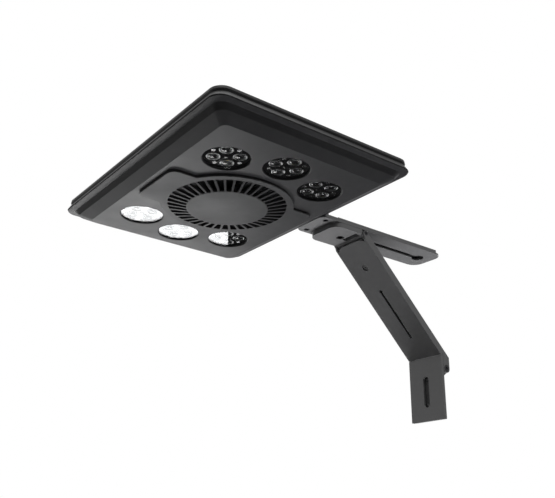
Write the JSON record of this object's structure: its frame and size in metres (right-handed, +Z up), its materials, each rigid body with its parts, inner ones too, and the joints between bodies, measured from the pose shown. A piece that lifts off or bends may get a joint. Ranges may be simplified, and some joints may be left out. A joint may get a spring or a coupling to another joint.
{
  "type": "LED aquarium light",
  "caption": "Flat rectangular LED tank light with round lens groups around a fan grille, on a slotted sliding rail and a hinged, slotted arm.",
  "frame": {"origin": "centre of the mounting slot, on the rear face of the standoff behind the lower arm", "axes": "+Z up, +Y from the lamp towards the tank wall, out of the mounting face, +X to the right"},
  "size_m": [0.292, 0.3955, 0.2062],
  "materials": {
    "housing_black": "satin powder coat",
    "cover_black": "satin powder coat",
    "grille_black": "fine satin moulding",
    "arm_black": "satin anodised black",
    "seal_rubber": "matte",
    "sink_aluminium": "extruded, brushed",
    "screw_steel": "machined",
    "screw_black": "black oxide",
    "pin_steel": "machined",
    "bearing_brass": "sintered bronze",
    "coil_copper": "enamelled winding",
    "magnet_grey": "moulded ferrite",
    "fan_plastic": "moulded",
    "board_green": "solder mask",
    "board_white": "white solder mask",
    "spacer_nylon": "moulded",
    "socket_black": "moulded",
    "holder_black": "moulded",
    "lens_clear": "moulded clear lens",
    "led_yellow": "phosphor"
  },
  "bodies": {
    "lower_arm": {"lower_arm": "arm_black", "standoff": "socket_black", "elbow_pin": "screw_black", "elbow_nut": "screw_black"},
    "upper_arm": {"upper_arm": "arm_black", "arm_cover": "arm_black", "arm_screw": "arm_black", "shoulder_pin": "screw_black", "shoulder_nut": "screw_black"},
    "shoulder": {"shoulder_block": "arm_black", "clamp_screw": "screw_black", "clamp_nut": "pin_steel"},
    "lamp": {"bottom_housing": "housing_black", "top_cover": "cover_black", "fan_grille": "grille_black", "cover_gasket": "seal_rubber", "heat_sink": "sink_aluminium", "puck_screws": "screw_steel", "fan_frame": "fan_plastic", "fan_bearing": "bearing_brass", "fan_coils": "coil_copper", "fan_screws": "screw_steel", "driver_board": "board_green", "control_board": "board_green", "board_spacers": "spacer_nylon", "power_inlet": "socket_black", "inlet_nut": "pin_steel", "cover_screws": "screw_black", "sink_screws": "screw_steel", "lens_holder_right_front": "holder_black", "lens_cluster_right_front": "lens_clear", "led_board_right_front": "board_white", "lens_holder_right_middle": "holder_black", "lens_cluster_right_middle": "lens_clear", "led_board_right_middle": "board_white", "lens_holder_right_rear": "holder_black", "lens_cluster_right_rear": "lens_clear", "led_board_right_rear": "board_white", "lens_holder_left_front": "holder_black", "lens_cluster_left_front": "lens_clear", "led_board_left_front": "board_white", "lens_holder_left_middle": "holder_black", "lens_cluster_left_middle": "lens_clear", "led_board_left_middle": "board_white", "lens_holder_left_rear": "holder_black", "lens_cluster_left_rear": "lens_clear", "led_board_left_rear": "board_white", "led_chips": "led_yellow", "lamp_bracket": "arm_black", "bracket_bolts": "screw_black", "rail": "arm_black", "rail_cover": "arm_black", "rail_screws": "screw_black"},
    "fan": {"fan_rotor": "fan_plastic", "fan_shaft": "pin_steel", "fan_magnet": "magnet_grey"}
  },
  "joints": [
    {"name": "elbow_hinge", "type": "hinge", "parent": "lower_arm", "child": "upper_arm", "pos_m": [0, -0.005, 0.0236], "axis": [1, 0, 0], "range_deg": [-45, 0]},
    {"name": "shoulder_hinge", "type": "hinge", "parent": "upper_arm", "child": "shoulder", "pos_m": [0, -0.12109, 0.15375], "axis": [1, 0, 0], "range_deg": [-35, 10]},
    {"name": "rail_slide", "type": "slide", "parent": "shoulder", "child": "lamp", "axis": [0, -1, 0], "range_m": [-0.006, 0.09]},
    {"name": "fan_spin", "type": "hinge", "parent": "lamp", "child": "fan", "pos_m": [0, -0.2842, 0.156], "axis": [0, 0, 1], "continuous": true}
  ]
}
